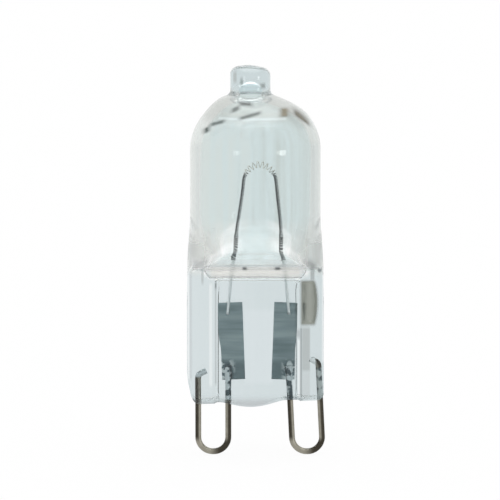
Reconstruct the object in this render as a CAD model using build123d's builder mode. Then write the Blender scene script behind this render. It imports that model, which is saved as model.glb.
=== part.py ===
"""Halogen capsule bulb with a two-loop plug-in base: a pressed quartz envelope, a coil filament,
two inner leads, two sealing foils and two contact loops. Millimetres and degrees, +Z up the lamp's axis,
origin on that axis at the foot of the press seal, +X along the line of the two loops."""

import os
from math import atan, cos, radians, sin, tan

from build123d import *

# Quartz envelope, from the foot of the press seal upwards
tube_diameter = 13.0
tube_wall = 1.0
seal_width = 13.6  # the hot glass spreads a little where it is pressed
seal_height = 12.4
foot_radius = 1.0
shoulder_slope = 55.0  # from upright, where the flat seal swells out into the round tube
shoulder_foot_bend = 2.0
shoulder_top_bend = 7.0
shoulder_overrun = 0.3  # the press ends this far outside the tube
collar_low = 12.0  # where the round bulb begins inside the seal
collar_spread = 0.25  # the bulb is this much wider there than the tube, on each side
flare_foot = 13.5  # the sides draw in from the collar's width to the tube's
flare_top = 18.3
flare_bend = 25.0
dome_base = 25.1  # top of the straight wall
dome_radius = 7.0
knuckle_turn = 48.19  # how far the knuckle between wall and dome bends, which sets its radius

# Exhaust tip, melted shut on top of the dome
tip_diameter = 4.0
tip_length = 2.65
tip_bore = 2.4
tip_cap = 1.5  # solid glass above the bore
tip_offset = -0.5  # the tip stands a little off the axis
tip_round = 1.0
tip_root = 0.6

# Press seal: two thick rails with a thin web between them
rail_thickness = 4.6
web_thickness = 3.0
web_width = 8.5
web_offset = 0.2
web_height = 12.35
web_draft = 25.0
rail_round = 0.7
side_top = 14.6  # the seal's square sides run out in the round collar below this height
side_draw = 0.6  # how far they have drawn in there
web_round = 0.4
foot_rise = 0.45  # the right rail ends this much higher than the left one
bulge_width = 6.0  # glass pressed out below the web
bulge_drop = 0.37
bulge_offset = -0.3
dimple_width = 1.75  # pressed mark in the right rail's front face
dimple_height = 4.5
dimple_depth = 0.5
dimple_draft = 30.0
dimple_offset = 5.35
dimple_top = 12.35

# Cavity floor, where the press pinches the tube shut
floor_height = 13.15
floor_radius = 0.75
floor_width = 10.2
floor_corner = 2.2
cavity_foot_bend = 0.5
cavity_top_bend = 6.1
cavity_overrun = 0.4
shoulder_wall = 0.9

# Sealing foils
mount_offset = 0.3  # foils, leads and loops were sealed in a little to the right
foil_width = 2.6
foil_length = 7.75
foil_thickness = 0.05
foil_foot = 2.15  # height of the foils' lower edge
foil_spread = 5.5  # between the two foils' middles
foil_tilt = 2.1

# Inner leads and the filament that hangs on them
lead_diameter = 0.3
lead_foil_lap = 1.2
lead_foot_spread = 5.9  # between the leads at the foils' upper edge
coil_diameter = 0.5
coil_bore = 0.34
coil_foot = 14.6
coil_lead_lap = 1.6
leg_top = 22.1
leg_top_spread = 3.56

# Contact loops
pin_pitch = 9.0  # between the middles of the two loops
loop_wire = 0.6
loop_width = 3.0  # between the two legs of one loop
loop_drop = 5.44  # below the foot of the seal
loop_bend = 1.45
loop_foil_lap = 1.4
left_free_end = 2.7  # height at which the outer leg turns into the glass
right_free_end = 3.9
hook_reach = 0.8
hook_rise = 0.4
hook_bend = 0.5
right_loop_lean = 2.9  # the right loop leans outwards from its weld

# Fits
seal_gap = 0.02  # capillary gap that cooling leaves round each wire
weld_sink = 0.02  # how far a weld flattens a wire against its foil
groove_gap = 0.1  # beside the loops' outer legs, which lie in grooves open to the side

tube_radius = tube_diameter / 2
bore_radius = tube_radius - tube_wall
seal_radius = seal_width / 2
collar_radius = tube_radius + collar_spread
turn_cos, turn_sin = cos(radians(knuckle_turn)), sin(radians(knuckle_turn))
knuckle_radius = (tube_radius - dome_radius * turn_cos) / (1 - turn_cos)
dome_centre = dome_base + (knuckle_radius - dome_radius) * turn_sin
tip_top = dome_centre + dome_radius + tip_length
shoulder_foot = seal_height + shoulder_foot_bend * tan(radians(shoulder_slope / 2))
cavity_foot = (
    shoulder_foot
    + shoulder_wall / sin(radians(shoulder_slope))
    - (rail_thickness / 2 - floor_radius) / tan(radians(shoulder_slope))
)
foil_top = foil_foot + foil_length
lead_plane = -(foil_thickness / 2 + lead_diameter / 2 - weld_sink)
loop_plane = -(foil_thickness / 2 + loop_wire / 2 - weld_sink)
leg_lean = atan((lead_foot_spread - leg_top_spread) / 2 / (leg_top - foil_top))
past_part = 2 * tube_diameter  # length of a cut that has to run right through

sides = {"left": -1, "right": 1}
free_end = {"left": left_free_end, "right": right_free_end}
loop_lean = {"left": 0.0, "right": right_loop_lean}
groove_side = {"left": Align.MAX, "right": Align.MIN}


def sweep_wire(path, diameter, mode=Mode.ADD):
    """Sweep a round wire along a path of straight runs and tangent arcs, in the part being made."""
    with BuildSketch(Plane(origin=path @ 0, z_dir=path % 0)) as section:
        Circle(diameter / 2)
    sweep(sections=section.sketch, path=path, mode=mode)


def dome_curve(inset):
    """Knuckle and dome from the top of the straight wall to the axis, set in from the outer surface."""
    knuckle = (tube_radius - knuckle_radius, dome_base)
    CenterArc(knuckle, knuckle_radius - inset, 0, knuckle_turn)
    CenterArc((0, dome_centre), dome_radius - inset, knuckle_turn, 90 - knuckle_turn)


def press_curve(low, foot, thin, wide, bends):
    """Outline between two jaws: upright from the low end, sloping out at the shoulder, then upright."""
    top = foot + (wide - thin) / tan(radians(shoulder_slope))
    for s in sides.values():
        FilletPolyline((s * thin, low), (s * thin, foot), (s * wide, top), (s * wide, tip_top), radius=bends)
    Line((-wide, tip_top), (wide, tip_top))


def foot_height(x):
    """Height of the seal's sloping foot, from its left side to its right."""
    return foot_rise * (x + seal_radius) / seal_width


def leg_half(z):
    """Half the distance between the two legs, inner lead or coil, at one height."""
    return lead_foot_spread / 2 - (z - foil_top) * tan(leg_lean)


def lead_line(side):
    """Straight line of one inner lead, from its weld on the foil up into the coil."""
    low, high = foil_top - lead_foil_lap, coil_foot + coil_lead_lap
    with BuildLine() as line:
        Line(*[(mount_offset + side * leg_half(z), lead_plane, z) for z in (low, high)])
    return line.line


def coil_line():
    """Inverted U of the filament: two legs that lean together and the arc that joins them."""
    arc_radius = leg_half(leg_top) / cos(leg_lean)
    apex = leg_top + arc_radius * (1 - sin(leg_lean))
    feet = [(mount_offset + s * leg_half(coil_foot), lead_plane, coil_foot) for s in sides.values()]
    tops = [(mount_offset + s * leg_half(leg_top), lead_plane, leg_top) for s in sides.values()]
    with BuildLine() as line:
        Line(feet[0], tops[0])
        ThreePointArc(tops[0], (mount_offset, lead_plane, apex), tops[1])
        Line(tops[1], feet[1])
    return line.line


def loop_line(name):
    """One contact loop: down from the foil, round the bottom and up to a hook in the glass."""
    side, weld_top = sides[name], foil_foot + loop_foil_lap
    bottom, end = -loop_drop + loop_wire / 2, free_end[name]
    inner = mount_offset + side * (pin_pitch - loop_width) / 2
    outer = inner + side * loop_width
    corners = [(inner, weld_top), (inner, bottom), (outer, bottom), (outer, end)]
    corners.append((outer - side * hook_reach, end + hook_rise))
    lean = side * tan(radians(loop_lean[name]))
    with BuildLine() as line:
        FilletPolyline(
            *[(x + lean * (weld_top - z), loop_plane, z) for x, z in corners],
            radius=[loop_bend, loop_bend, hook_bend],
        )
    return line.line


lead_paths = {name: lead_line(side) for name, side in sides.items()}
loop_paths = {name: loop_line(name) for name in sides}
coil_path = coil_line()

# Sealing foils, leaning together towards the foot
foils = {}
for name, side in sides.items():
    middle = Vector(mount_offset + side * foil_spread / 2, 0, foil_foot + foil_length / 2)
    with BuildPart() as foil:
        with BuildSketch(Plane(origin=middle, x_dir=(1, 0, 0), z_dir=(0, -1, 0))):
            Rectangle(foil_width, foil_length, rotation=-side * foil_tilt)
        extrude(amount=foil_thickness / 2, both=True)
    foil.part.label = f"foil_{name}"
    foils[name] = foil.part

# Inner leads, flattened where they are welded to the foils
leads = {}
for name in sides:
    with BuildPart() as lead:
        sweep_wire(lead_paths[name], lead_diameter)
        add(foils[name], mode=Mode.SUBTRACT)
    lead.part.label = f"inner_lead_{name}"
    leads[name] = lead.part

# Filament: the outer form of the wound coil, open at both ends for the leads
with BuildPart() as filament:
    sweep_wire(coil_path, coil_diameter)
    for path in lead_paths.values():
        sweep_wire(path, coil_bore, mode=Mode.SUBTRACT)
filament.part.label = "filament"

# Contact loops, flattened where they are welded to the foils
loops = {}
for name in sides:
    with BuildPart() as loop:
        sweep_wire(loop_paths[name], loop_wire)
        add(foils[name], mode=Mode.SUBTRACT)
    loop.part.label = f"contact_loop_{name}"
    loops[name] = loop.part

# Space inside the bulb: a turned bore, pinched shut at its floor, and the tip's own bore
with BuildPart() as cavity:
    with BuildSketch(Plane.XZ):
        with BuildLine():
            floor_half = floor_width / 2
            floor_low = floor_height - 2 * floor_radius
            wall_low = floor_low + floor_corner
            Line((0, floor_low), (floor_half - floor_corner, floor_low))
            RadiusArc((floor_half - floor_corner, floor_low), (floor_half, wall_low), -floor_corner)
            Polyline((floor_half, wall_low), (bore_radius, flare_top), (bore_radius, dome_base))
            dome_curve(tube_wall)
            Line((0, dome_centre + dome_radius - tube_wall), (0, floor_low))
        make_face()
    revolve(axis=Axis.Z)
    with BuildSketch(Plane.YZ.offset(-past_part / 2)):
        with BuildLine():
            wide = bore_radius + cavity_overrun
            press_curve(floor_height, cavity_foot, floor_radius, wide, [cavity_foot_bend, cavity_top_bend])
            ThreePointArc(
                (-floor_radius, floor_height), (0, floor_height - floor_radius), (floor_radius, floor_height)
            )
        make_face()
    extrude(amount=past_part, mode=Mode.INTERSECT)
    with BuildSketch(Plane.XZ):
        with BuildLine():
            bore_end = tip_top - tip_cap - tip_bore / 2
            edge = tip_offset + tip_bore / 2
            CenterArc((tip_offset, bore_end), tip_bore / 2, 0, 90)
            Polyline((edge, bore_end), (edge, dome_base), (tip_offset, dome_base))
            Line((tip_offset, dome_base), (tip_offset, tip_top - tip_cap))
        make_face()
    revolve(axis=Axis((tip_offset, 0, 0), (0, 0, 1)))

# Press seal: a flat block with rounded edges, its sides drawing in at the top
with BuildPart() as seal:
    with BuildSketch():
        RectangleRounded(seal_width, rail_thickness, rail_round)
    extrude(amount=side_top)
    with BuildSketch(Plane.XZ.offset(-past_part / 2)):
        with BuildLine():
            FilletPolyline(
                (-seal_radius, seal_height),
                (-seal_radius, foot_height(-seal_radius)),
                (seal_radius, foot_height(seal_radius)),
                (seal_radius, seal_height),
                radius=foot_radius,
            )
            side_arc = ((side_top - seal_height) ** 2 + side_draw**2) / (2 * side_draw)
            for s in sides.values():
                top = (s * (seal_radius - side_draw), side_top)
                RadiusArc((s * seal_radius, seal_height), top, -s * side_arc)
                Line(top, (0, side_top))
        make_face()
    extrude(amount=past_part, mode=Mode.INTERSECT)

# Quartz envelope: a turned bulb between two jaws, with the seal at its foot
with BuildPart() as envelope:
    with BuildSketch(Plane.XZ):
        with BuildLine():
            Line((0, collar_low), (collar_radius, collar_low))
            FilletPolyline(
                (collar_radius, collar_low),
                (collar_radius, flare_foot),
                (tube_radius, flare_top),
                (tube_radius, dome_base),
                radius=flare_bend,
            )
            dome_curve(0)
            Line((0, dome_centre + dome_radius), (0, collar_low))
        make_face()
    revolve(axis=Axis.Z)
    with BuildSketch(Plane.YZ.offset(-past_part / 2)):
        with BuildLine():
            thin, wide = rail_thickness / 2, tube_radius + shoulder_overrun
            press_curve(-past_part, shoulder_foot, thin, wide, [shoulder_foot_bend, shoulder_top_bend])
            Line((-thin, -past_part), (thin, -past_part))
        make_face()
    extrude(amount=past_part, mode=Mode.INTERSECT)
    add(seal.part)
    with BuildSketch(Plane.XY.offset(dome_base)):
        with Locations((tip_offset, 0)):
            Circle(tip_diameter / 2)
    extrude(amount=tip_top - dome_base)
    fillet(envelope.edges().filter_by(GeomType.BSPLINE).sort_by(Axis.Z)[-1], tip_root)
    fillet(envelope.edges().sort_by(Axis.Z)[-1], tip_round)

    # Web pressed in between the rails, on the front and on the back
    for face in (-1, 1):
        press = Plane(
            origin=(web_offset, face * rail_thickness / 2, web_height),
            x_dir=(-face, 0, 0),
            z_dir=(0, -face, 0),
        )
        with BuildSketch(press):
            Rectangle(web_width, past_part, align=(Align.CENTER, Align.MIN))
        extrude(amount=(rail_thickness - web_thickness) / 2, taper=web_draft, mode=Mode.SUBTRACT)
    web_faces = envelope.faces().filter_by(Axis.Y).filter_by_position(
        Axis.Y, -web_thickness / 2, web_thickness / 2
    )
    fillet(web_faces.edges().filter_by_position(Axis.Z, foot_radius, web_height), web_round)

    # Glass squeezed out below the web
    with BuildSketch(Plane.XZ.offset(-web_thickness / 2)):
        with BuildLine():
            left, right = bulge_offset - bulge_width / 2, bulge_offset + bulge_width / 2
            start, end = (left, foot_height(left)), (right, foot_height(right))
            ThreePointArc(start, (bulge_offset, -bulge_drop), end)
            Polyline(end, (right, foot_radius), (left, foot_radius), start)
        make_face()
    extrude(amount=web_thickness)

    # Pressed mark in the front of the right rail
    mark = Plane(origin=(dimple_offset, -rail_thickness / 2, dimple_top), x_dir=(1, 0, 0), z_dir=(0, 1, 0))
    with BuildSketch(mark):
        Rectangle(dimple_width, dimple_height, align=(Align.CENTER, Align.MIN))
    extrude(amount=dimple_depth, taper=dimple_draft, mode=Mode.SUBTRACT)

    # Space for the gas, the sealed-in metal and the loops' outer legs
    add(cavity.part, mode=Mode.SUBTRACT)
    for name, side in sides.items():
        add(foils[name], mode=Mode.SUBTRACT)
        sweep_wire(lead_paths[name], lead_diameter + 2 * seal_gap, mode=Mode.SUBTRACT)
        sweep_wire(loop_paths[name], loop_wire + 2 * seal_gap, mode=Mode.SUBTRACT)
        leg = mount_offset + side * (pin_pitch + loop_width) / 2
        with BuildSketch(Plane.XY.offset(-past_part)):
            with Locations((leg, loop_plane)):
                Rectangle(past_part, loop_wire + 2 * groove_gap, align=(groove_side[name], Align.CENTER))
        extrude(amount=past_part + free_end[name], mode=Mode.SUBTRACT)
envelope.part.label = "quartz_envelope"

os.makedirs("parts", exist_ok=True)
for piece in (envelope.part, filament.part, *leads.values(), *foils.values(), *loops.values()):
    export_step(piece, f"parts/{piece.label}.step")
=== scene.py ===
"""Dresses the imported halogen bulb: fire-polished quartz round its cavity, a wound coil, sealing foils and
wires, on a pale floor under soft studio light. Lengths are millimetres in the row frame, +Z up the bulb."""

import bmesh
import bpy
import numpy as np
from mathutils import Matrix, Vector


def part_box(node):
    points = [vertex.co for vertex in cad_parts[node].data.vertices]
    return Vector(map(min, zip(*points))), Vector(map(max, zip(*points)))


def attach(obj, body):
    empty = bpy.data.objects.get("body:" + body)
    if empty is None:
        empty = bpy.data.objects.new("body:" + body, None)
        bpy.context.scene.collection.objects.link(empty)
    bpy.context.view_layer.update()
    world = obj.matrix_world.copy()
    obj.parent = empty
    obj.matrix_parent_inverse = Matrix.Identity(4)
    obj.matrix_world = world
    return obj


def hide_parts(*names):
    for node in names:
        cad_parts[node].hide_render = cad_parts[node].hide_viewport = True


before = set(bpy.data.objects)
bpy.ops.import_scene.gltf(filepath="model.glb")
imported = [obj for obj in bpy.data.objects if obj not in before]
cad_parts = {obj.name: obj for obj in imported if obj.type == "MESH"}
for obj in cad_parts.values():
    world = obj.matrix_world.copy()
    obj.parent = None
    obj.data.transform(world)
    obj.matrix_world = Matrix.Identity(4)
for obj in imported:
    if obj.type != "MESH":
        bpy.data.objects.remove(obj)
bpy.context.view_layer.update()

MM = 0.001

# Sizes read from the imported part
glass_high = np.array(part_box("quartz_envelope")[1]) / MM
coil_low, coil_high = np.array(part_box("filament")) / MM
loop_low, loop_high = np.array(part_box("contact_loop_left")) / MM

# Envelope, outside
seal_radius = glass_high[0]
tip_top = glass_high[2]
tube_radius = 6.5
foot_radius = 1.0
foot_edge = 0.35  # rounding of the foot's front and back edges
flare_foot, flare_top = 12.7, 19.1
dome_base, dome_radius, knuckle_radius = 25.1, 7.0, 5.5
tip_radius, tip_round, tip_root = 2.0, 1.0, 0.6
tip_shift = -0.5  # the tip stands a little off the axis
outer_follow, inner_follow = (5.4, 2.6), (4.5, 1.6)  # radii between which the dome follows it
tip_crown = 0.12  # how far the melted end rises above its rim
tip_lean = 0.05
ripple = 0.012  # depth of the drawn tube's unevenness
ripple_span = (0.2, 2.0)  # radii between which that grows from nothing

# Press seal
rail_half, web_half = 2.3, 1.5
web_left, web_right, web_top = -4.05, 4.45, 12.35
web_ramp = 0.12  # draft and rounding of the web's edge
web_corner = 0.5
mark_left, mark_right, mark_low, mark_top, mark_depth = 4.475, 6.225, 7.85, 12.35, 0.5
mark_ramp, mark_slope = 0.4, 0.8  # rounding of the mark's edge, and its longer left slope
mark_bow = 0.06  # how far its right side bows, per square millimetre from its middle
press_corner = 0.3
seal_height, shoulder_slope = 12.4, np.radians(55)
shoulder_bends, shoulder_overrun = (2.0, 7.0), 0.3
square_foot, square_top = 8.0, 14.8  # where the section turns from square to round
squareness = 4.0  # added to the power 2 of a round section, in the seal
bulge_middle, bulge_half, bulge_drop = -0.3, 3.2, 0.58
foot_drop = 0.15
foot_rise = 0.45  # the right rail ends this much higher than the left one
foot_reach = 1.5  # how far up the seal the shape of its foot is felt
corner_draw = 0.45  # how far the left rail's lower corner is pinched in
corner_up, corner_across = (3.2, 0.1), (-4.5, -6.9)  # from where to where that pinch grows
side_rounding, crease_rounding = 0.6, 1.2
jaw_reach, jaw_spread = 40.0, 8.0  # how far the jaws run below and above, and how much they open at the top

# Painted light on the bend of the shoulder
bend_start, bend_fade = (0.02, 0.3), (0.4, 1.4)  # depth inside the round wall at which it starts and fades
bend_core = 0.85  # how much of it has faded there
bend_side, bend_middle = (5.7, 4.9), (0.8, 2.4)  # where it grows, inwards from the side and out from the axis
middle_share, back_share = 0.2, 0.9
bend_low, bend_top = (12.6, 13.4), (17.6, 16.9)

# Envelope, inside
wall = 1.0
floor_half, floor_height, floor_width, floor_corner = 0.75, 13.15, 5.1, 2.2
shoulder_wall, cavity_bends, cavity_overrun = 0.9, (0.5, 6.1), 0.4
bore_radius, bore_cap, bore_rim = 1.2, 1.5, 0.4
least_rounding = 1e-6  # keeps a rounding above nothing where the slit closes

# Leads and sealing foils
sides = {"left": -1, "right": 1}
mount_shift = 0.3  # all metal was sealed in a little to the right
lead_radius, lead_foot, lead_top, lead_plane = 0.15, 8.7, 16.2, -0.155
foil_foot, foil_top, foil_half, foil_thick = 2.15, 9.9, 1.3, 0.025
foil_spread, foil_tilt = 2.75, np.radians(2.1)
foil_taper, taper_span = 0.15, (7.6, 5.0)  # half of what its outer edge draws in, and between which heights
crumple_depth, crumple_span = 0.05, (4.6, 3.0)
foil_wave = 0.02

# Filament
leg_spread_foot, leg_spread_top, leg_top = 2.95, 1.78, 22.1
coil_radius, coil_wire, coil_pitch = (coil_high[1] - coil_low[1]) / 2, 0.045, 0.14
turn_points, wire_sides = 14, 6  # points along one turn, and round the wire
arch_foot, arch_ramp = 22.9, 0.4  # where the winding opens
coil_stretch, coil_swell = 2.2, 0.16  # how much longer and wider its turns get there
coil_slim, slim_ramp = 0.06, 0.6  # how much slimmer it is above the leads
left_lean, lean_top = 0.3, 21.0  # how far its left leg leans in, and the height at which it has done so
lean_across = (1.2, -1.2)  # from where to where that lean passes over the arch

# Contact loops
loop_radius, loop_bend = (loop_high[1] - loop_low[1]) / 2, 1.45
loop_plane = (loop_high[1] + loop_low[1]) / 2
loop_foot, weld_top = loop_low[2], loop_high[2]
loop_inner, loop_outer = 3.0, 6.0
free_end = {"left": 2.7, "right": 3.9}
loop_lean = {"left": 0.0, "right": np.tan(np.radians(2.9))}
hook_reach, hook_rise, hook_bend = 0.8, 0.4, 0.5
weld_flat = 0.15  # how much flatter and wider the wire is pressed at its weld
weld_span = (foil_foot - 0.3, foil_foot + 0.5)
leg_sheen_span, foot_sheen_span = (-0.15, 0.5), (0.7, -0.5)  # from where to where the painted tan highlight grows
foot_zone = (loop_foot + 1.9, loop_foot + 1.2)  # heights between which leg turns to foot


# Shapes


def soft_min(a, b, reach):
    """The smaller of two values, with a rounded change-over while they differ by less than the reach."""
    overlap = np.maximum(reach - np.abs(a - b), 0) / reach
    return np.minimum(a, b) - overlap**2 * reach / 4


def soft_step(low, high, value):
    """0 at low, 1 at high, either way round, and an S-curve of 3 s squared less 2 s cubed between them."""
    s = np.clip((value - low) / (high - low), 0, 1)
    return s * s * (3 - 2 * s)


def graded(low, high, spacing, *zones):
    """Stations from low to high at one spacing, closer inside each zone of (middle, reach, spacing):
    the density of stations is summed up along the way and cut into equal parts."""
    fine = np.linspace(low, high, 6001)
    density = np.full_like(fine, 1 / spacing)
    for middle, reach, close in zones:
        density = np.maximum(density, np.where(np.abs(fine - middle) < reach, 1 / close, 0))
    run = np.concatenate([[0], np.cumsum((density[1:] + density[:-1]) / 2 * np.diff(fine))])
    return np.interp(np.linspace(0, run[-1], int(run[-1]) + 2), run, fine)


def arc(middle, radius, start, end, count):
    """Points on an arc between two angles in degrees: middle plus radius times cosine and sine."""
    a = np.radians(np.linspace(start, end, count))
    return np.stack([middle[0] + radius * np.cos(a), middle[1] + radius * np.sin(a)], axis=1)


def rounded_path(corners, radii, count):
    """Path through corners, each inner one replaced by an arc that touches both of its lines: the arc's
    middle lies on the bisector, and its points swing from one touching point to the other."""
    corners = np.array(corners, float)
    runs = [corners[:1]]
    for before, here, after, radius in zip(corners, corners[1:], corners[2:], radii):
        back = (before - here) / np.linalg.norm(before - here)
        on = (after - here) / np.linalg.norm(after - here)
        half = np.arccos(np.clip(back @ on, -1, 1)) / 2
        middle = here + (back + on) / np.linalg.norm(back + on) * radius / np.sin(half)
        first = here + back * radius / np.tan(half) - middle
        last = here + on * radius / np.tan(half) - middle
        s, turn = np.linspace(0, 1, count)[:, None], np.pi - 2 * half
        runs.append(middle + (np.sin((1 - s) * turn) * first + np.sin(s * turn) * last) / np.sin(turn))
    return np.concatenate([*runs, corners[-1:]])


def stations(path, spacing):
    """The same path as points at equal distances along it."""
    run = np.concatenate([[0], np.cumsum(np.linalg.norm(np.diff(path, axis=0), axis=1))])
    even = np.linspace(0, run[-1], int(run[-1] / spacing) + 2)
    return np.stack([np.interp(even, run, path[:, i]) for i in range(path.shape[1])], axis=1)


def press_half(z, low, thin, wide, bends):
    """Half the gap between the jaws at each height: upright at thin, an arc, the shoulder's slope, an arc at
    wide, and slowly wider above so that the tube stays round."""
    rise = (wide - thin) / np.tan(shoulder_slope)
    corners = [(thin, low - jaw_reach), (thin, low), (wide, low + rise)]
    corners.append((wide + jaw_spread, low + rise + jaw_reach))
    path = rounded_path(corners, bends, 40)
    return np.interp(z, path[:, 1], path[:, 0])


def wobble(turn, z, phase):
    """Slow unevenness of drawn glass between 0 and 1: the sum of two waves, three and five times round the
    tube, that wind slowly along it."""
    return 0.5 + 0.25 * np.sin(3 * turn + 0.31 * z + phase) + 0.25 * np.sin(5 * turn - 0.47 * z + 2 * phase)


shoulder_foot = seal_height + shoulder_bends[0] * np.tan(shoulder_slope / 2)
cavity_foot = (
    shoulder_foot
    + shoulder_wall / np.sin(shoulder_slope)
    - (rail_half - floor_half) / np.tan(shoulder_slope)
)
dome_middle = dome_base - np.sqrt((dome_radius - knuckle_radius) ** 2 - (tube_radius - knuckle_radius) ** 2)
knuckle_turn = np.degrees(np.arctan2(dome_base - dome_middle, tube_radius - knuckle_radius))


def dome_rows(inset, neck, fillet):
    """Profile of radius and height from the straight wall over knuckle and dome, and round a fillet of its
    own into a neck of the given radius."""
    radius, reach = dome_radius - inset, neck + fillet
    up = np.sqrt((radius + fillet) ** 2 - reach**2)
    touch = np.degrees(np.arctan2(up, reach))
    return np.concatenate(
        [
            arc((tube_radius - knuckle_radius, dome_base), knuckle_radius - inset, 0, knuckle_turn, 20),
            arc((0, dome_middle), radius, knuckle_turn, touch, 18)[1:],
            arc((reach, dome_middle + up), fillet, 180 + touch, 180, 10)[1:],
        ]
    )


dome_outside = dome_rows(0, tip_radius, tip_root)
tip_foot = dome_outside[-1, 1]


def envelope_turns():
    """Angles of the columns round the outside of the glass, closer at the web's edges, the rails' rounded
    edges, the narrow sides and the mark. A zone is a middle, a reach and a spacing in degrees."""
    web_edges = (web_left + web_ramp / 2, web_right - web_ramp / 2)
    web_edges = [np.degrees(np.arccos(x / seal_radius)) for x in web_edges]
    mark_edges = (mark_left + press_corner / 2, mark_right - press_corner / 2)
    mark_edges = [360 - np.degrees(np.arccos(x / seal_radius)) for x in mark_edges]
    zones = [(a, 2.5, 0.3) for a in (*web_edges, *(360 - a for a in web_edges))]
    zones += [(a, 7, 0.7) for a in (20, 160, 200, 340)]
    zones += [(a, 7, 0.55) for a in (3, 183, 357, 177)]
    zones += [(a, 3, 0.5) for a in mark_edges]
    return np.radians(graded(0, 360, 2.0, *zones)[:-1])


def envelope_rows():
    """Profile of radius and height up the outside: across the foot, up seal, shoulder and tube, over the dome
    and up the tip to its melted end. With it comes each row's share of its depth, which opens across the
    foot."""
    foot = arc((seal_radius - foot_radius, foot_radius), foot_radius, -90, 0, 10)
    mark_zone = (mark_low + mark_ramp / 2, 0.35, 0.06)
    web_zone = (web_top - web_ramp / 2, 0.5, 0.07)
    shoulder_zone = (16, 4.2, 0.16)
    height = graded(foot_radius, dome_base, 0.5, mark_zone, web_zone, shoulder_zone)[1:-1]
    width = seal_radius + (tube_radius - seal_radius) * soft_step(flare_foot, flare_top, height)
    body = np.stack([width, height], axis=1)
    rim = tip_top - tip_round
    tip = np.stack([np.full(5, tip_radius), np.linspace(tip_foot, rim, 6)[1:]], axis=1)
    end = arc((tip_radius - tip_round, 0), tip_round, 0, 90, 10)[1:]
    end[:, 1] = rim + end[:, 1] * (tip_round - tip_crown) / tip_round
    crown = np.linspace(tip_radius - tip_round, 0, 7)[1:]
    crown = np.stack([crown, tip_top - tip_crown * (crown / (tip_radius - tip_round)) ** 2], axis=1)
    opening = np.linspace(0, 1, 9)[:-1]
    under = np.stack([np.full_like(opening, foot[0, 0]), np.zeros_like(opening)], axis=1)
    rows = np.concatenate([under, foot, body, dome_outside, tip, end, crown])
    return rows, np.concatenate([opening, np.ones(len(rows) - len(opening))])[:, None]


def pressed_half(x, z, front):
    """Half the thickness that the press leaves: half the gap between the jaws, less the web on both sides
    and the mark on the front, each cut by an S-curve from its edge inwards."""
    half = press_half(z, shoulder_foot, rail_half, tube_radius + shoulder_overrun, shoulder_bends)
    in_web = soft_min(soft_min(x - web_left, web_right - x, press_corner), web_top - z, web_corner)
    half = half - (rail_half - web_half) * soft_step(0, web_ramp, in_web)
    from_right = mark_right - x - mark_bow * (z - (mark_low + mark_top) / 2) ** 2
    in_mark = soft_min((x - mark_left) * mark_ramp / mark_slope, from_right, press_corner)
    in_mark = soft_min(in_mark, soft_min(z - mark_low, mark_top - z, press_corner), press_corner)
    return half - mark_depth * soft_step(0, mark_ramp, in_mark) * front


def envelope_surface():
    """Outside of the glass. Round the bulb, x is the radius times the cosine of the turn and y the radius
    times its sine, cut down by a rounded minimum to what the press leaves. In the seal the section is
    square, as cosine and sine are taken to a higher power. The foot and the tip are then bent in place."""
    turn = envelope_turns()
    rows, opening = envelope_rows()
    radius, z = rows[:, :1], rows[:, 1:] + 0 * turn
    radius = radius - ripple * wobble(turn, z, phase=0.7) * soft_step(*ripple_span, radius)
    power = 2 + squareness * soft_step(square_top, square_foot, z)
    radius = radius * (np.abs(np.cos(turn)) ** power + np.abs(np.sin(turn)) ** power) ** (-1 / power)
    shift = tip_shift * soft_step(*outer_follow, radius) * (z > dome_base)
    x = shift + radius * np.cos(turn)

    rounding = crease_rounding + (side_rounding - crease_rounding) * np.cos(turn) ** 2
    half = soft_min(radius * np.abs(np.sin(turn)), pressed_half(x, z, np.sin(turn) < 0), rounding)
    low = np.minimum(z, foot_edge)
    edge = foot_edge - np.sqrt(foot_edge**2 - (foot_edge - low) ** 2)
    y = np.sign(np.sin(turn)) * np.maximum(half - edge, 0) * opening

    x = x + corner_draw * soft_step(*corner_up, z) * soft_step(*corner_across, x)
    hang = np.maximum(1 - ((x - bulge_middle) / bulge_half) ** 2, 0) ** 1.5
    near_foot = np.maximum(1 - z / foot_reach, 0) ** 2
    down = (foot_drop + bulge_drop * hang - foot_rise * (x + seal_radius) / (2 * seal_radius)) * near_foot
    lean = tip_lean * (x - shift + tip_radius) * soft_step(tip_foot, tip_top, z)
    return np.stack([x, y, z - down - lean], axis=-1)


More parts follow.
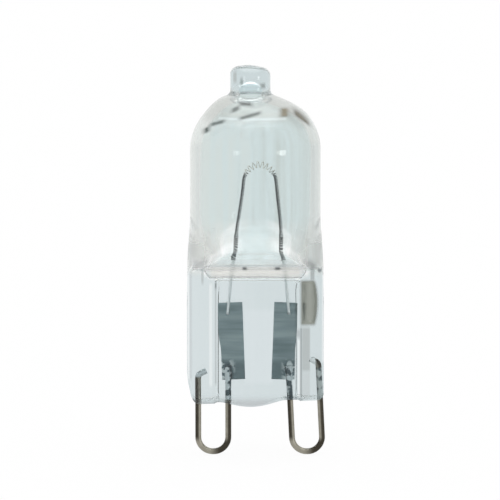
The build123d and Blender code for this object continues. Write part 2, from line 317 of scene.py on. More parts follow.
def cavity_surface():
    """Inside of the glass, built like the outside and twice as uneven: a slit with a half-round floor where
    the jaws closed the tube, widening to the bore, then the dome and the tip's own short bore with a
    half-round end."""
    turn = np.radians(graded(0, 360, 2.4, *((a, 15, 1.2) for a in (0, 180, 360)))[:-1])
    floor = floor_height - floor_half * np.cos(np.linspace(0, np.pi / 2, 10))
    body = graded(floor_height, dome_base, 0.5, (15, 2.5, 0.1), (18, 2.5, 0.2))[1:-1]
    body = np.concatenate([floor, body])
    corner = floor_height - 2 * floor_half + floor_corner
    width = floor_width - floor_corner + np.sqrt(floor_corner**2 - np.maximum(corner - body, 0) ** 2)
    width = width + (tube_radius - wall - floor_width) * soft_step(corner, flare_top, body)
    dome = dome_rows(wall, bore_radius, bore_rim)
    end = tip_top - bore_cap - bore_radius
    bore = np.stack([np.full(3, bore_radius), np.linspace(dome[-1, 1], end, 4)[1:]], axis=1)
    cap = arc((0, end), bore_radius, 0, 90, 12)[1:]
    rows = np.concatenate([np.stack([width, body], axis=1), dome, bore, cap])

    radius, z = rows[:, :1], rows[:, 1:] + 0 * turn
    radius = radius - 2 * ripple * wobble(turn, z, phase=2.1) * soft_step(*ripple_span, radius)
    shift = tip_shift * soft_step(*inner_follow, radius) * (z > dome_base)
    jaw = press_half(z, cavity_foot, floor_half, tube_radius - wall + cavity_overrun, cavity_bends)
    half_round = np.sqrt(np.maximum(floor_half**2 - (floor_height - z) ** 2, 0))
    jaw = np.where(z < floor_height, half_round, jaw)
    rounding = crease_rounding + (side_rounding - crease_rounding) * np.cos(turn) ** 2
    half = soft_min(radius * np.abs(np.sin(turn)), jaw, np.minimum(rounding, jaw + least_rounding))
    y = np.sign(np.sin(turn)) * np.maximum(half, 0)
    return np.stack([shift + radius * np.cos(turn), y, z], axis=-1)


def shoulder_painted_light(points, radius):
    """How much painted light a point of the glass gets on the pressed shoulder, from 0 to 1: it rises just
    inside the round wall, is strongest along that bend, and fades out above, below and towards the middle."""
    x, y, z = np.moveaxis(points, -1, 0)
    inside, aside = radius - np.hypot(x, y), np.abs(x)
    near = soft_step(*bend_start, inside) * (1 - bend_core * soft_step(*bend_fade, inside))
    near = near * soft_step(*bend_side, aside)
    near = near * (middle_share + (1 - middle_share) * soft_step(*bend_middle, aside))
    near = near * np.where(y < 0, 1, back_share)
    return near * soft_step(*bend_low, z) * soft_step(*bend_top, z)


def side_normals(path):
    """Directions square to a path that lies in a plane of constant y: its own direction, turned in that
    plane by a right angle."""
    ahead = np.gradient(path, axis=0)
    ahead /= np.linalg.norm(ahead, axis=1, keepdims=True)
    return np.stack([-ahead[:, 2], np.zeros(len(path)), ahead[:, 0]], axis=1)


def closed_wire(path, rings):
    """Rings of points along a wire, with both ends drawn together on its path."""
    first, last = (np.repeat(path[i][None, None], rings.shape[1], axis=1) for i in (0, -1))
    return np.concatenate([first, rings, last])


depth_way = np.array([0.0, 1.0, 0.0])


def carried(path, across, thick, count):
    """A rounded profile carried along a path in a plane of constant y: each point is the path plus across
    times the cosine along the path's own normal, plus thick times the sine along y."""
    normal = side_normals(path)
    a = np.linspace(0, 2 * np.pi, count, endpoint=False)[None, :, None]
    across, thick = (np.broadcast_to(v, len(path))[:, None, None] for v in (across, thick))
    rings = path[:, None] + across * np.cos(a) * normal[:, None] + thick * np.sin(a) * depth_way
    return closed_wire(path, rings)


def leg_half(z):
    """Half the distance between the legs of coil or leads at a height: a straight line, foot to top."""
    return leg_spread_foot + (leg_spread_top - leg_spread_foot) * (z - foil_top) / (leg_top - foil_top)


def coil_middle():
    """Middle line of the coil: up one leaning leg, round the arch and down the other leg, with the left leg
    drawn in by a share that grows with its height."""
    slope = np.arctan((leg_spread_foot - leg_spread_top) / (leg_top - foil_top))
    radius = leg_spread_top / np.cos(slope)
    middle = (mount_shift, leg_top - radius * np.sin(slope))
    top = arc(middle, radius, 180 - np.degrees(slope), np.degrees(slope), 60)
    feet = [(mount_shift + s * leg_half(coil_low[2]), coil_low[2]) for s in sides.values()]
    flat = stations(np.concatenate([[feet[0]], top, [feet[1]]]), 0.1)
    lean = np.clip((flat[:, 1] - coil_low[2]) / (lean_top - coil_low[2]), 0, 1)
    flat[:, 0] += left_lean * lean * soft_step(*lean_across, flat[:, 0])
    path = np.stack([flat[:, 0], np.full(len(flat), lead_plane), flat[:, 1]], axis=1)
    return stations(path, coil_pitch / turn_points)


def coil_surface():
    """Wound wire: a helix about the coil's middle line, stretched and wider on the arch. The wire's own round
    section stands on the direction out from that line and on the cross product of it and the wire."""
    middle = coil_middle()
    height = middle[:, 2]
    open_part = coil_stretch * soft_step(arch_foot - arch_ramp, arch_foot + arch_ramp, height)
    a = np.cumsum(2 * np.pi / turn_points / (1 + open_part))
    out = np.cos(a)[:, None] * side_normals(middle) + np.sin(a)[:, None] * depth_way
    slim = coil_slim * soft_step(lead_top, lead_top + slim_ramp, height)
    swell = coil_swell / coil_stretch * open_part - slim
    wire = middle + (coil_radius - coil_wire + swell)[:, None] * out
    along = np.gradient(wire, axis=0)
    along /= np.linalg.norm(along, axis=1, keepdims=True)
    third = np.cross(along, out)
    b = np.linspace(0, 2 * np.pi, wire_sides, endpoint=False)[None, :, None]
    rings = wire[:, None] + coil_wire * (np.cos(b) * out[:, None] + np.sin(b) * third[:, None])
    return closed_wire(wire, rings)


def foil_surface(side):
    """Thin foil with feathered edges: a flat ellipse carried up its leaning middle line. It waves a little,
    and near the weld at its foot it is crumpled, y shifted by crossing sine waves that fade out upwards."""
    z = np.linspace(foil_foot, foil_top, 70)
    middle = (foil_foot + foil_top) / 2
    narrow = foil_taper * soft_step(*taper_span, z)
    x = mount_shift + side * (foil_spread + (z - middle) * np.tan(foil_tilt)) - side * narrow
    points = carried(np.stack([x, np.zeros_like(z), z], axis=1), foil_half - narrow, foil_thick, 48)
    u, v = (points[..., 0] - mount_shift - side * foil_spread) / foil_half, points[..., 2]
    crumple = crumple_depth * np.sin(5.1 * u + 2.2 * v + side) * np.sin(4.3 * v - 2.0 * u)
    points[..., 1] += soft_step(*crumple_span, v) * crumple + foil_wave * np.sin(0.9 * v + 1.3 * u)
    return points


def lead_surface(side):
    """Straight round wire: a circle carried up the line of its leg, from the foil's weld into the coil."""
    z = np.linspace(lead_foot, lead_top, 24)
    path = np.stack([mount_shift + side * leg_half(z), np.full_like(z, lead_plane), z], axis=1)
    return carried(path, lead_radius, lead_radius, 20)


def loop_surface(name):
    """Round wire bent to a contact loop: a circle carried down from the weld, round the foot and up to a hook
    in the glass. It is pressed flatter and wider where it is welded to the foil."""
    side, end = sides[name], free_end[name]
    foot = loop_foot + loop_radius
    corners = [(loop_inner, weld_top), (loop_inner, foot), (loop_outer, foot), (loop_outer, end)]
    corners.append((loop_outer - hook_reach, end + hook_rise))
    corners = [(mount_shift + side * (x + loop_lean[name] * (weld_top - z)), z) for x, z in corners]
    flat = rounded_path(corners, [loop_bend, loop_bend, hook_bend], 24)
    path = stations(np.stack([flat[:, 0], np.full(len(flat), loop_plane), flat[:, 1]], axis=1), 0.12)
    inner = np.abs(path[:, 0] - mount_shift) < (loop_inner + loop_outer) / 2
    weld = weld_flat * soft_step(*weld_span, path[:, 2]) * inner
    return carried(path, loop_radius * (1 + weld), loop_radius * (1 - weld), 28)


def loop_painted_sheen(points, name):
    """How much painted tan highlight lies on a contact loop, from 0 to 1: along the inner sides of its legs,
    where the offset from the wire's middle points into the loop, and round the left half of its foot."""
    middle = points.mean(axis=1, keepdims=True)
    reach = (loop_inner + loop_outer) / 2 + loop_lean[name] * (weld_top - middle[..., 2])
    leg = middle[..., 0] - mount_shift - sides[name] * reach
    inward = (middle[..., 0] - points[..., 0]) * np.sign(leg) / loop_radius
    low = soft_step(*foot_zone, points[..., 2])
    return soft_step(*leg_sheen_span, inward) * (1 - low) + soft_step(*foot_sheen_span, leg) * low


# Materials


def linear(hex_code):
    """Linear RGBA of an sRGB hex colour."""
    c = np.array([int(hex_code[i : i + 2], 16) for i in (0, 2, 4)]) / 255
    c = np.where(c <= 0.04045, c / 12.92, ((c + 0.055) / 1.055) ** 2.4)
    return (*c.tolist(), 1.0)


def add_node(tree, kind, inputs=None, **settings):
    """Adds a node, sets its properties, and gives each named input a value or a link."""
    made = tree.nodes.new(kind)
    for name, value in settings.items():
        setattr(made, name, value)
    for name, value in (inputs or {}).items():
        if isinstance(value, bpy.types.NodeSocket):
            tree.links.new(value, made.inputs[name])
        else:
            made.inputs[name].default_value = value
    return made


def new_tree(name):
    """A material with an empty node tree, and that tree."""
    made = bpy.data.materials.new(name)
    made.use_nodes = True
    made.node_tree.nodes.clear()
    return made, made.node_tree


def set_stops(ramp, *stops):
    """Gives a colour ramp its stops in rising order, each a position and a hex colour."""
    for i, (position, hex_code) in enumerate(stops):
        stop = ramp.color_ramp.elements[i] if i < 2 else ramp.color_ramp.elements.new(position)
        stop.position, stop.color = position, linear(hex_code)
    return ramp.outputs[0]


def between(tree, value, low, high, ramp):
    """1 where a coordinate lies between two millimetre values and 0 outside, with a soft ramp at both ends:
    the distance from their middle is set against half their difference."""
    away = add_node(tree, "ShaderNodeMath", {0: value, 1: (low + high) / 2 * MM}, operation="SUBTRACT")
    away = add_node(tree, "ShaderNodeMath", {0: away.outputs[0]}, operation="ABSOLUTE")
    near, far = ((high - low) / 2 - ramp) * MM, ((high - low) / 2 + ramp) * MM
    reach = {"Value": away.outputs[0], "From Min": far, "From Max": near}
    return add_node(tree, "ShaderNodeMapRange", reach).outputs[0]


def combined(tree, operation, *masks):
    """Several masks as one, worked out two by two: multiplied where they overlap, or the largest of them."""
    share = masks[0]
    for mask in masks[1:]:
        share = add_node(tree, "ShaderNodeMath", {0: share, 1: mask}, operation=operation).outputs[0]
    return share


def laid_over(tree, under, over, *masks):
    """One tone over another, showing as much as the product of its masks."""
    sockets = {0: combined(tree, "MULTIPLY", *masks), 6: under, 7: over}
    return add_node(tree, "ShaderNodeMix", sockets, data_type="RGBA").outputs[2]


far_away = 100  # past the bulb on any side

# Patterns: how many of them lie on a millimetre, and the scales that draw them out along one way
glass_streaks, glass_drawn = 0.8, (1, 1, 0.03)
olive_blotches = 1.2
foil_creases, foil_rolled, foil_flecks = 1.3, (0.1, 1, 1), 1.6
wire_lines, wire_drawn = 8, (1, 1, 0.05)
coil_speckles = 2
wire_oxide = 1.5

# Lines and patches painted on the front of the glass, most of them painted highlights and painted shade for
# the light and dark lines that refraction and reflection draw: a tone, and the reach across and up
painted_glass_lines = (
    # painted highlight beyond the sides of the seal, and a painted dark line along the left one
    ("FFFFFF", (-far_away, -6.52), (2.4, 13.0)),
    ("C0C6C9", (-6.52, -6.3), (2.4, 13.0)),
    ("FFFFFF", (6.62, far_away), (4.2, 13.0)),
    # painted highlight and painted dark lines along the left edge of the web, and the pale glass between the
    # foils
    ("F0F4F4", (-4.58, -4.28), (1.8, 12.0)),
    ("A4AAAC", (-4.02, -3.86), (1.8, 11.4)),
    ("50585A", (-4.02, -3.84), (11.4, 12.2)),
    ("DAE2E5", (-1.05, 1.75), (1.9, 9.3)),
    # painted highlight and painted dark lines along the right edge of the web, and painted grey shade down
    # the rail beside it
    ("FFFFFF", (4.24, 4.44), (0.5, 6.4)),
    ("A4AAAC", (4.1, 4.44), (6.5, 7.4)),
    ("808687", (4.44, 4.66), (0.4, 7.7)),
    ("9DA2A1", (4.66, 5.42), (3.2, 7.7)),
    ("BEC4C5", (4.66, 5.42), (0.4, 3.2)),
    # painted grey reflection along the foot of the seal
    ("8E9698", (-5.2, -2.8), (-0.4, 0.1)),
    ("9AA2A4", (2.9, 4.7), (0.2, 0.6)),
    # painted highlights on the corners above the seal, two painted dark dashes over the floor of the cavity,
    # and painted grey shade beside the corners
    ("FFFFFF", (-6.3, -4.9), (13.3, 14.6)),
    ("FFFFFF", (-5.1, -4.4), (12.8, 14.6)),
    ("FFFFFF", (4.3, 5.2), (12.8, 14.6)),
    ("4A5052", (-1.27, -0.85), (13.4, 13.8)),
    ("4A5052", (1.95, 2.45), (13.4, 13.8)),
    ("A9AFAF", (-5.36, -5.12), (12.0, 13.6)),
    ("8E9494", (5.45, 5.85), (12.3, 13.9)),
    ("50585A", (6.2, 6.6), (13.2, 13.6)),
    # darker bands down the sides of the tube, a painted highlight line at the foot of the dome, and darker
    # marks on the tip
    ("D0D6D4", (-far_away, -5.55), (17.5, 26.0)),
    ("C6CDCB", (5.6, far_away), (17.5, 26.0)),
    ("F4F8F8", (-3.6, 3.0), (28.5, 28.72)),
    ("6E7674", (0.45, 0.98), (31.35, 31.85)),
    ("768280", (-1.5, -1.22), (31.6, 32.35)),
    ("A2A6A4", (-2.2, -1.85), (31.9, 33.0)),
)

# Painted dark reflections on the front of the dome: a tone, the reach across and up, and their slope
painted_dome_reflections = (
    ("363E3B", (-4.5, -3.0), (29.18, 29.52), -0.32),
    ("1E2623", (-5.15, -4.45), (29.55, 30.1), -0.5),
    ("66583F", (2.4, 3.3), (28.75, 29.55), 0.0),
    ("3C3628", (3.7, 5.5), (31.95, 32.95), 0.8),
    ("262A28", (-1.6, -0.25), (29.75, 30.1), 0.05),
    ("303633", (-2.4, -1.5), (30.05, 30.5), -0.4),
    ("303633", (-1.6, 0.55), (28.9, 29.25), -0.27),
)

# Fused quartz, drawn to a tube, fire polished and pressed shut: clear and cool, with painted shade greyer to
# the right, with streaks along the tube, deeper in the thick tip and seal, and painted light on the shoulder.
# Painted highlights and painted shade follow the press's edges, painted dark reflections lie on the dome, the
# press tool's recess is coloured dark olive, and that recess, the corners above the seal, its foot and the
# pinched floor of the cavity are not quite polished.
quartz, tree = new_tree("fused quartz, fire polished")
place = add_node(tree, "ShaderNodeTexCoord").outputs["Object"]
across, deep, up = add_node(tree, "ShaderNodeSeparateXYZ", {0: place}).outputs
front = between(tree, deep, -far_away, -1, 0.1)
lining = add_node(tree, "ShaderNodeAttribute", attribute_name="lining").outputs["Fac"]

# Tones of the clear glass, streaked along the tube, with painted shade making it greyer from left to right
drawn = add_node(tree, "ShaderNodeMapping", {"Vector": place, "Scale": glass_drawn}).outputs[0]
streak = {"Vector": drawn, "Scale": glass_streaks / MM, "Detail": 4.0, "Roughness": 0.6}
streak = add_node(tree, "ShaderNodeTexNoise", streak).outputs[0]
sway = add_node(tree, "ShaderNodeMath", {0: streak, 1: 1.5, 2: -0.25}, operation="MULTIPLY_ADD").outputs[0]
streak_and_side_shade = {0: across, 1: 0.05 / MM, 2: sway}
streak_and_side_shade = add_node(tree, "ShaderNodeMath", streak_and_side_shade, operation="MULTIPLY_ADD").outputs[0]
tone = add_node(tree, "ShaderNodeValToRGB", {"Fac": streak_and_side_shade})
tone = set_stops(tone, (0.15, "DEE1DD"), (0.5, "DAE2E1"), (0.85, "CED3CF"))
tone = laid_over(tree, tone, linear("CBCFCB"), between(tree, up, 28.4, far_away, 0.4))
tone = laid_over(tree, tone, linear("C9D5D7"), between(tree, up, 30.9, far_away, 0.4))
rail = laid_over(tree, linear("D5DEE0"), linear("CDD8DA"), streak_and_side_shade)
tone = laid_over(tree, tone, rail, between(tree, up, -far_away, 13.2, 0.8))
tone = laid_over(tree, tone, linear("F0F8FA"), lining)

# Painted light on the shoulder, painted grey reflection along the foot, and the painted lines of the press
# bend: painted light, white laid over the shoulder's bend where bright light would be refracted
bend = add_node(tree, "ShaderNodeAttribute", attribute_name="bend").outputs["Fac"]
tone = laid_over(tree, tone, linear("FFFFFF"), bend)
# Painted light: a near-white strip across the glass just above the seal
painted_strip_light = between(tree, across, -4.6, 4.6, 0.3), between(tree, up, 12.45, 14.0, 0.15)
tone = laid_over(tree, tone, linear("FFFEFC"), *painted_strip_light)
# Painted grey reflection of the underside, all round the foot
tone = laid_over(tree, tone, linear("C4CACC"), between(tree, up, -far_away, 0.1, 0.15))
# Painted highlights and painted shade of the press's lines, on the front face only
for hex_code, reach_across, reach_up in painted_glass_lines:
    soft = min(0.25, (reach_up[1] - reach_up[0]) / 3)
    line = between(tree, across, *reach_across, 0.06), between(tree, up, *reach_up, soft)
    tone = laid_over(tree, tone, linear(hex_code), front, *line)

# Painted dark reflections on the outer face of the dome
dome_front = between(tree, deep, -far_away, -1.7, 0.7)
outer_face = add_node(tree, "ShaderNodeMath", {0: 1.0, 1: lining}, operation="SUBTRACT").outputs[0]
for hex_code, reach_across, reach_up, slope in painted_dome_reflections:
    tilted = {0: across, 1: slope, 2: up}
    tilted = add_node(tree, "ShaderNodeMath", tilted, operation="MULTIPLY_ADD").outputs[0]
    reflection_reach = between(tree, across, *reach_across, 0.28), between(tree, tilted, *reach_up, 0.12)
    tone = laid_over(tree, tone, linear(hex_code), outer_face, dome_front, *reflection_reach)

# Dark olive patch over the press tool's recess, blotched, with a lighter band near its right side, and bowed
# on its right like the recess
blotch = {"Vector": place, "Scale": olive_blotches / MM, "Detail": 3.0}
blotch = add_node(tree, "ShaderNodeTexNoise", blotch).outputs[0]
olive = laid_over(tree, linear("40433A"), linear("65665A"), blotch)
olive = laid_over(tree, olive, linear("737468"), between(tree, across, 5.15, 5.65, 0.25))
bowed = {0: up, 1: (mark_low + mark_top) / 2 * MM}
bowed = add_node(tree, "ShaderNodeMath", bowed, operation="SUBTRACT").outputs[0]
bowed = add_node(tree, "ShaderNodeMath", {0: bowed, 1: bowed}, operation="MULTIPLY").outputs[0]
bowed = {0: bowed, 1: mark_bow / MM, 2: across}
bowed = add_node(tree, "ShaderNodeMath", bowed, operation="MULTIPLY_ADD").outputs[0]
olive_patch = [between(tree, across, mark_left, far_away, 0.15), between(tree, bowed, -far_away, mark_right, 0.15)]
olive_patch.append(between(tree, up, mark_low, mark_top, 0.15))
olive_patch = combined(tree, "MULTIPLY", front, *olive_patch)
tone = laid_over(tree, tone, olive, olive_patch)

# Places that are not quite polished
aside = add_node(tree, "ShaderNodeMath", {0: across}, operation="ABSOLUTE").outputs[0]
corner = between(tree, aside, 4.9, far_away, 0.2), between(tree, up, 13.0, 16.8, 1.2)
corner = combined(tree, "MULTIPLY", *corner)
foot_rim = between(tree, up, -far_away, 0.45, 0.15)
dull = combined(tree, "MAXIMUM", olive_patch, corner, foot_rim)
dull = add_node(tree, "ShaderNodeMapRange", {"Value": dull, "To Min": 0.0, "To Max": 0.35}).outputs[0]
cavity_floor = combined(tree, "MULTIPLY", lining, between(tree, up, -far_away, 14.3, 0.2), 0.85)
dull = combined(tree, "MAXIMUM", dull, cavity_floor)

clear = {"Base Color": tone, "Roughness": dull, "IOR": 1.458, "Transmission Weight": 1.0}
clear = add_node(tree, "ShaderNodeBsdfPrincipled", clear).outputs[0]
add_node(tree, "ShaderNodeOutputMaterial", {"Surface": clear})

# Molybdenum foil, rolled thin and welded: slate grey with soft creases across it, darker round the weld, and
# crushed to pale flecks on the weld's outer side
foil_metal, tree = new_tree("molybdenum foil, rolled")
place = add_node(tree, "ShaderNodeTexCoord").outputs["Object"]
across, _, up = add_node(tree, "ShaderNodeSeparateXYZ", {0: place}).outputs
creased = add_node(tree, "ShaderNodeMapping", {"Vector": place, "Scale": foil_rolled}).outputs[0]
crease = {"Vector": creased, "Scale": foil_creases / MM, "Detail": 4.0}
crease = add_node(tree, "ShaderNodeTexNoise", crease).outputs[0]
shade = add_node(tree, "ShaderNodeValToRGB", {"Fac": crease})
shade = set_stops(shade, (0.32, "6F8184"), (0.68, "99A8AA"))
fleck = {"Vector": place, "Scale": foil_flecks / MM, "Detail": 2.0}
fleck = add_node(tree, "ShaderNodeTexNoise", fleck).outputs[0]
fleck = {"Value": fleck, "From Min": 0.47, "From Max": 0.56}
fleck = add_node(tree, "ShaderNodeMapRange", fleck).outputs[0]
crushed = add_node(tree, "ShaderNodeValToRGB", {"Fac": fleck})
crushed = set_stops(crushed, (0.25, "5E6E72"), (0.8, "CED6D6"))
aside = {0: across, 1: mount_shift * MM}
aside = add_node(tree, "ShaderNodeMath", aside, operation="SUBTRACT").outputs[0]
aside = add_node(tree, "ShaderNodeMath", {0: aside}, operation="ABSOLUTE").outputs[0]
weld = between(tree, up, -far_away, 4.0, 0.3)
shade = laid_over(tree, shade, linear("68797C"), weld)
shade = laid_over(tree, shade, crushed, weld, between(tree, aside, 2.5, far_away, 0.3))
surface = {"Base Color": shade, "Metallic": 1.0, "Roughness": 0.35}
surface = add_node(tree, "ShaderNodeBsdfPrincipled", surface).outputs[0]
add_node(tree, "ShaderNodeOutputMaterial", {"Surface": surface})

# Molybdenum wire, drawn: pale grey with a soft sheen and fine lines along it, coarser here than the real
# lines of a die so that they show
lead_metal, tree = new_tree("molybdenum wire, drawn")
place = add_node(tree, "ShaderNodeTexCoord").outputs["Object"]
drawn = add_node(tree, "ShaderNodeMapping", {"Vector": place, "Scale": wire_drawn}).outputs[0]
line = {"Vector": drawn, "Scale": wire_lines / MM, "Detail": 2.0}
line = add_node(tree, "ShaderNodeTexNoise", line).outputs[0]
shade = add_node(tree, "ShaderNodeValToRGB", {"Fac": line})
shade = set_stops(shade, (0.3, "D4D9D9"), (0.7, "ECEFEF"))
surface = {"Base Color": shade, "Metallic": 1.0, "Roughness": 0.3}
surface = add_node(tree, "ShaderNodeBsdfPrincipled", surface).outputs[0]
add_node(tree, "ShaderNodeOutputMaterial", {"Surface": surface})

# Tungsten wire, wound: dull dark grey on the legs, with a painted pale highlight over the arch between them
coil_metal, tree = new_tree("tungsten wire, wound")
place = add_node(tree, "ShaderNodeTexCoord").outputs["Object"]
up = add_node(tree, "ShaderNodeSeparateXYZ", {0: place}).outputs[2]
speckle = {"Vector": place, "Scale": coil_speckles / MM, "Detail": 2.0}
speckle = add_node(tree, "ShaderNodeTexNoise", speckle).outputs[0]
leg = laid_over(tree, linear("4E5254"), linear("6A6E70"), speckle)
# arch: painted pale highlight over the arch of the coil
arch = laid_over(tree, linear("B4A998"), linear("FFFDF8"), speckle)
shade = laid_over(tree, leg, arch, between(tree, up, arch_foot, far_away, 0.3))
surface = {"Base Color": shade, "Metallic": 1.0, "Roughness": 0.4}
surface = add_node(tree, "ShaderNodeBsdfPrincipled", surface).outputs[0]
add_node(tree, "ShaderNodeOutputMaterial", {"Surface": surface})

# Contact wire, drawn and dulled by a brown oxide film: dark, with a painted tan highlight inside the loop,
# and slate where the glass covers it, mottled with painted pale glints, and painted pale over its hooks in
# the glass
contact_metal, tree = new_tree("contact wire, drawn and oxidised")
place = add_node(tree, "ShaderNodeTexCoord").outputs["Object"]
across, _, up = add_node(tree, "ShaderNodeSeparateXYZ", {0: place}).outputs
mottle = {"Vector": place, "Scale": wire_oxide / MM, "Detail": 3.0}
mottle = add_node(tree, "ShaderNodeTexNoise", mottle).outputs[0]
painted_sheen = add_node(tree, "ShaderNodeAttribute", attribute_name="painted_sheen").outputs["Fac"]
film = laid_over(tree, linear("2E2C26"), linear("4C483E"), mottle)
sheen_tone = laid_over(tree, linear("827E72"), linear("A8A599"), mottle)
# Painted tan highlight along the inner sides of the legs and round the left half of the foot
shade = laid_over(tree, film, sheen_tone, painted_sheen)
# Painted pale glints mottled over the wire where the glass covers it
glint = {"Value": mottle, "From Min": 0.46, "From Max": 0.54}
glint = add_node(tree, "ShaderNodeMapRange", glint).outputs[0]
sealed = between(tree, across, -3.4, 4.2, 0.1), between(tree, up, 0.2, far_away, 0.1)
shade = laid_over(tree, shade, linear("4E5C60"), *sealed)
shade = laid_over(tree, shade, linear("CBD3D5"), glint, *sealed)
# Painted pale light over the hooks inside the glass, so that they nearly vanish
left_hook = between(tree, across, -far_away, -4.2, 0.1), between(tree, up, 2.5, far_away, 0.1)
shade = laid_over(tree, shade, linear("C6CED0"), *left_hook)
right_hook = between(tree, across, 4.6, 6.0, 0.1), between(tree, up, 3.5, far_away, 0.1)
shade = laid_over(tree, shade, linear("FAFCFC"), *right_hook)
# Painted pale glints mottled over the right leg where the glass covers it
glint = {"Value": mottle, "From Min": 0.38, "From Max": 0.5}
glint = add_node(tree, "ShaderNodeMapRange", glint).outputs[0]
right_leg = between(tree, across, 5.4, far_away, 0.1), between(tree, up, 0.3, 3.4, 0.1)
shade = laid_over(tree, shade, linear("5A6668"), *right_leg)
shade = laid_over(tree, shade, linear("C0C6C4"), glint, *right_leg)
surface = {"Base Color": shade, "Metallic": 1.0, "Roughness": 0.35}
surface = add_node(tree, "ShaderNodeBsdfPrincipled", surface).outputs[0]
add_node(tree, "ShaderNodeOutputMaterial", {"Surface": surface})


# Pieces

merge_reach, sliver_reach = 0.0005, 0.0001  # points this close become one, and edges this short go


def skin(points, inward=False):
    """Vertices and quads of a grid of points whose columns close on themselves: each quad joins two
    neighbours of one row to the two above them."""
    rows, columns = points.shape[:2]
    index = np.arange(rows * columns).reshape(rows, columns)
    after = np.roll(index, -1, axis=1)
    quads = np.stack([index[:-1], after[:-1], after[1:], index[1:]], axis=-1).reshape(-1, 4)
    return points.reshape(-1, 3), quads[:, ::-1] if inward else quads


def make_piece(name, shells, metal, node, marks=None):
    """A smooth mesh from one or more skins, closed at seams and poles, riding on the bulb in place of a CAD
    node. Marks are values per vertex that its material reads."""
    starts = np.cumsum([0] + [len(vertices) for vertices, quads in shells])
    points = np.concatenate([vertices for vertices, quads in shells]) * MM
    faces = np.concatenate([quads + start for (vertices, quads), start in zip(shells, starts)])
    mesh = bpy.data.meshes.new(name)
    mesh.from_pydata(points.tolist(), [], faces.tolist())
    for mark, values in (marks or {}).items():
        mesh.attributes.new(mark, "FLOAT", "POINT").data.foreach_set("value", values.astype(np.float32))
    work = bmesh.new()
    work.from_mesh(mesh)
    bmesh.ops.remove_doubles(work, verts=work.verts, dist=merge_reach * MM)
    bmesh.ops.dissolve_degenerate(work, edges=work.edges, dist=sliver_reach * MM)
    work.to_mesh(mesh)
    work.free()
    mesh.polygons.foreach_set("use_smooth", np.ones(len(mesh.polygons), bool))
    mesh.materials.append(metal)
    piece = bpy.data.objects.new(name, mesh)
    bpy.context.scene.collection.objects.link(piece)
    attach(piece, "root")
    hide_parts(node)


outer, inner = envelope_surface(), cavity_surface()
# Painted light on the shoulder, as a value per vertex that the glass material reads
bends = shoulder_painted_light(outer, tube_radius).ravel(), shoulder_painted_light(inner, tube_radius - wall).ravel()
glass_marks = {"lining": np.repeat([0.0, 1.0], [len(b) for b in bends]), "bend": np.concatenate(bends)}
glass_shells = [skin(outer), skin(inner, inward=True)]
make_piece("bulb_glass", glass_shells, quartz, "quartz_envelope", glass_marks)
make_piece("coil_filament", [skin(coil_surface())], coil_metal, "filament")
for name, side in sides.items():
    lead, foil, loop = lead_surface(side), foil_surface(side), loop_surface(name)
    sheen_marks = {"painted_sheen": loop_painted_sheen(loop, name).ravel()}
    make_piece(f"{name}_inner_lead", [skin(lead)], lead_metal, f"inner_lead_{name}")
    make_piece(f"{name}_sealing_foil", [skin(foil)], foil_metal, f"foil_{name}")
    make_piece(
        f"{name}_contact_loop", [skin(loop)], contact_metal, f"contact_loop_{name}", sheen_marks
    )


# Studio

scene = bpy.context.scene
scene.view_settings.view_transform = "Standard"
scene.cycles.max_bounces = scene.cycles.transmission_bounces = scene.cycles.glossy_bounces = 32

# The floor and the room read as plain white wherever they are seen, directly or in glass and metal
room_level = 0.55
white_share = 0.95
overhead, overhead_from = 2.0, 0.7  # light added straight above, and how steep a view it begins at


def seen(tree):
    """1 for what the camera sees directly, mirrored or through glass, 0 for the light on matt surfaces."""
    path = add_node(tree, "ShaderNodeLightPath").outputs
    rays = {0: path["Is Camera Ray"], 1: path["Is Glossy Ray"]}
    rays = add_node(tree, "ShaderNodeMath", rays, operation="ADD").outputs[0]
    rays = {0: rays, 1: path["Is Transmission Ray"]}
    return add_node(tree, "ShaderNodeMath", rays, operation="ADD", use_clamp=True).outputs[0]


world = bpy.data.worlds.new("pale room")
scene.world = world
world.use_nodes = True
tree = world.node_tree
tree.nodes.clear()
way = add_node(tree, "ShaderNodeTexCoord").outputs["Generated"]
way_up = add_node(tree, "ShaderNodeSeparateXYZ", {0: way}).outputs[2]
ceiling = {"Value": way_up, "From Min": overhead_from, "From Max": 1.0, "To Min": 0.0, "To Max": overhead}
ceiling = add_node(tree, "ShaderNodeMapRange", ceiling, interpolation_type="SMOOTHSTEP").outputs[0]
walls = {"Value": seen(tree), "To Min": room_level, "To Max": 1.0}
walls = add_node(tree, "ShaderNodeMapRange", walls).outputs[0]
strength = add_node(tree, "ShaderNodeMath", {0: walls, 1: ceiling}, operation="ADD").outputs[0]
room = add_node(tree, "ShaderNodeBackground", {"Color": (1, 1, 1, 1), "Strength": strength}).outputs[0]
add_node(tree, "ShaderNodeOutputWorld", {"Surface": room})

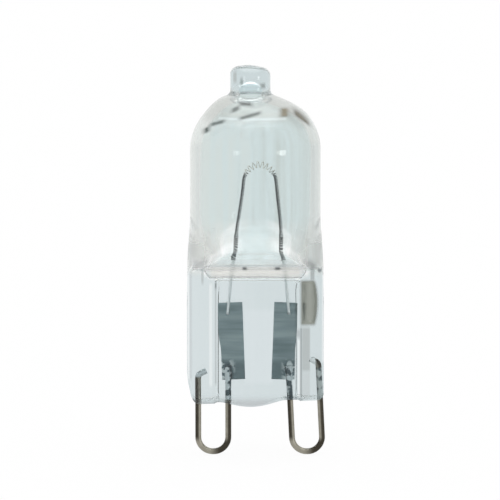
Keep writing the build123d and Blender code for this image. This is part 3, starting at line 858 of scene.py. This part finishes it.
paper, tree = new_tree("white paper floor")
matt = add_node(tree, "ShaderNodeBsdfDiffuse", {"Color": linear("F2F2F2")}).outputs[0]
white = add_node(tree, "ShaderNodeEmission", {"Color": (1, 1, 1, 1), "Strength": 1.0}).outputs[0]
share = {"Value": seen(tree), "To Min": 0.0, "To Max": white_share}
share = add_node(tree, "ShaderNodeMapRange", share).outputs[0]
mixed = add_node(tree, "ShaderNodeMixShader", {0: share, 1: matt, 2: white}).outputs[0]
add_node(tree, "ShaderNodeOutputMaterial", {"Surface": mixed})

floor_reach = 3.0  # in metres
floor_mesh = bpy.data.meshes.new("floor")
floor_corners = [(-1, -1), (1, -1), (1, 1), (-1, 1)]
floor_corners = [(x * floor_reach, y * floor_reach, loop_foot * MM) for x, y in floor_corners]
floor_mesh.from_pydata(floor_corners, [], [(0, 1, 2, 3)])
floor_mesh.materials.append(paper)
floor = bpy.data.objects.new("floor", floor_mesh)
scene.collection.objects.link(floor)


def add_softbox(name, place, aim, width, watts):
    """A square lamp at a place in metres, turned so that its face looks at the aim."""
    lamp = bpy.data.lights.new(name, "AREA")
    lamp.size, lamp.energy = width, watts
    made = bpy.data.objects.new(name, lamp)
    made.location = place
    made.rotation_euler = (Vector(place) - Vector(aim)).to_track_quat("Z", "Y").to_euler()
    scene.collection.objects.link(made)


bulb_middle = (0, 0, 0.015)
add_softbox("key softbox", (0.352, -0.311, 0.02), bulb_middle, width=0.09, watts=0.14)
add_softbox("fill softbox", (-0.267, -0.387, 0.02), bulb_middle, width=0.08, watts=0.04)

# Camera
view_width = 49.75
view_middle = np.array([-0.53, 0.0, 15.1])
elevation = np.radians(7.0)
distance = 400.0

lens = bpy.data.cameras.new("camera")
lens.sensor_width = 36.0
lens.lens = lens.sensor_width * distance / view_width
lens.clip_start = 0.01
camera = bpy.data.objects.new("camera", lens)
camera.location = (view_middle + distance * np.array([0, -np.cos(elevation), np.sin(elevation)])) * MM
camera.rotation_euler = (np.pi / 2 - elevation, 0, 0)
scene.collection.objects.link(camera)
scene.camera = camera
